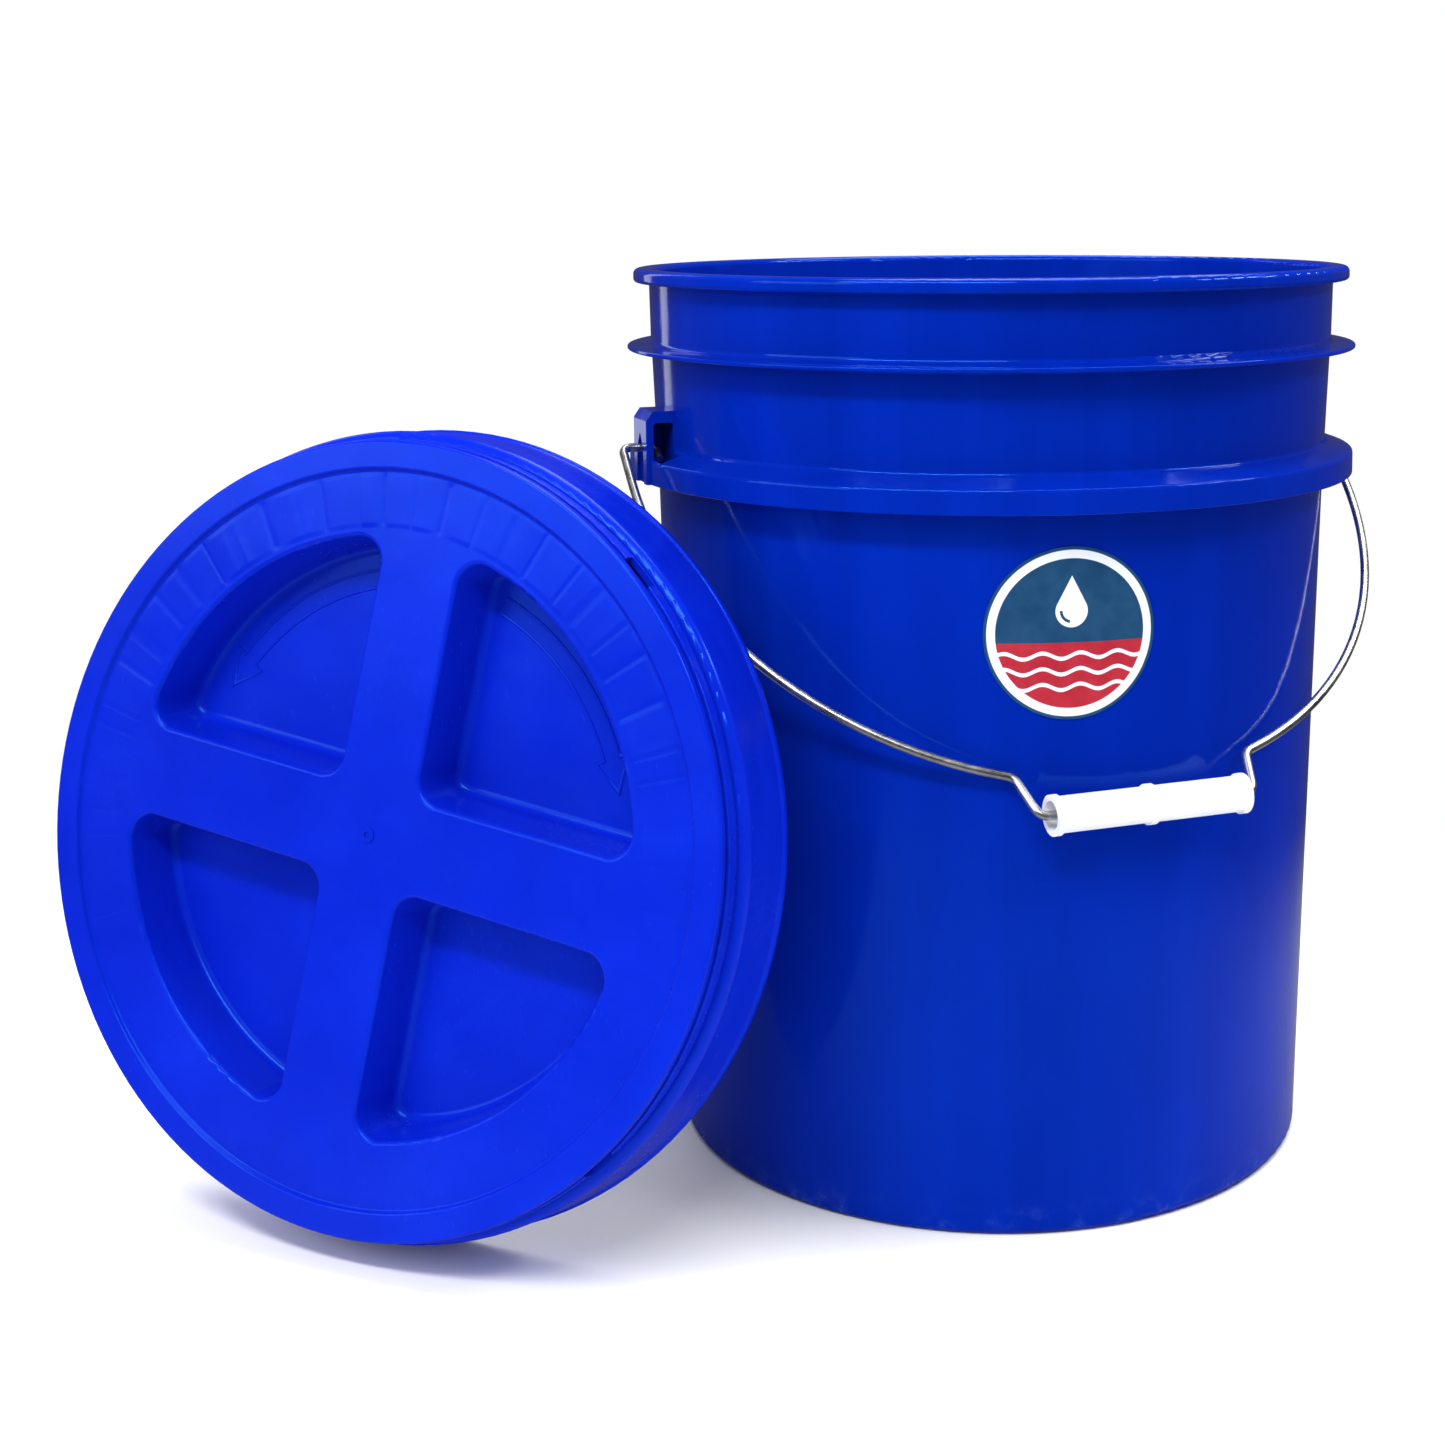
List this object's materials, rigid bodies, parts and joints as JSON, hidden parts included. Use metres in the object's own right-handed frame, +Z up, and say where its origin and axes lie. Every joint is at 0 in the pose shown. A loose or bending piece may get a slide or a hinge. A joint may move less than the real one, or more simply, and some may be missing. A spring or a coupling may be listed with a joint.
{
  "type": "wash bucket",
  "caption": "Round tapered wash bucket with stacking flanges, a swinging wire bail with a roller grip, and a screw-on lid with its base ring standing beside it.",
  "frame": {"origin": "centre of the pail's underside, on the floor", "axes": "+Z up; X along the bail's pivot axis; the bail hangs on the -Y side; the lid stands towards -X"},
  "size_m": [0.5524, 0.311, 0.372],
  "materials": {
    "pail_plastic": "moulded blue polyethylene, glossy",
    "label_vinyl": "printed vinyl, satin",
    "bail_steel": "drawn, zinc plated wire",
    "grip_plastic": "moulded white plastic",
    "lid_plastic": "moulded bright blue polyethylene",
    "gasket_foam": "soft closed-cell foam",
    "o_ring_rubber": "moulded rubber"
  },
  "bodies": {
    "pail": {"pail_body": "pail_plastic", "round_label": "label_vinyl"},
    "bail": {"bail_wire": "bail_steel"},
    "grip": {"bail_grip": "grip_plastic"},
    "lid_ring": {"adapter_ring": "lid_plastic", "rim_gasket": "gasket_foam"},
    "seal": {"lid_o_ring": "o_ring_rubber"},
    "cover": {"spin_lid": "lid_plastic"}
  },
  "joints": [
    {"name": "bail_swing", "type": "hinge", "parent": "pail", "child": "bail", "pos_m": [0, 0, 0.3], "axis": [-1, 0, 0], "range_deg": [0, 261]},
    {"name": "grip_roll", "type": "hinge", "parent": "bail", "child": "grip", "pos_m": [0, -0.14787, 0.17288], "axis": [1, 0, 0], "continuous": true},
    {"name": "lid_stand", "type": "slide", "parent": "pail", "child": "lid_ring", "axis": [-0.6921, -0.7218, 0], "range_m": [0, 0.3]},
    {"name": "lid_rise", "type": "slide", "parent": "lid_ring", "child": "seal", "axis": [-0.6818, -0.711, 0.1719], "range_m": [0, 0.01201]},
    {"name": "lid_spin", "type": "hinge", "parent": "seal", "child": "cover", "pos_m": [-0.26192, -0.02545, 0.1581], "axis": [-0.6818, -0.711, 0.1719], "range_deg": [0, 540]}
  ],
  "couplings": [
    {"joint": "lid_rise", "follows": "lid_spin", "m_per_rad": 0.0012732}
  ]
}
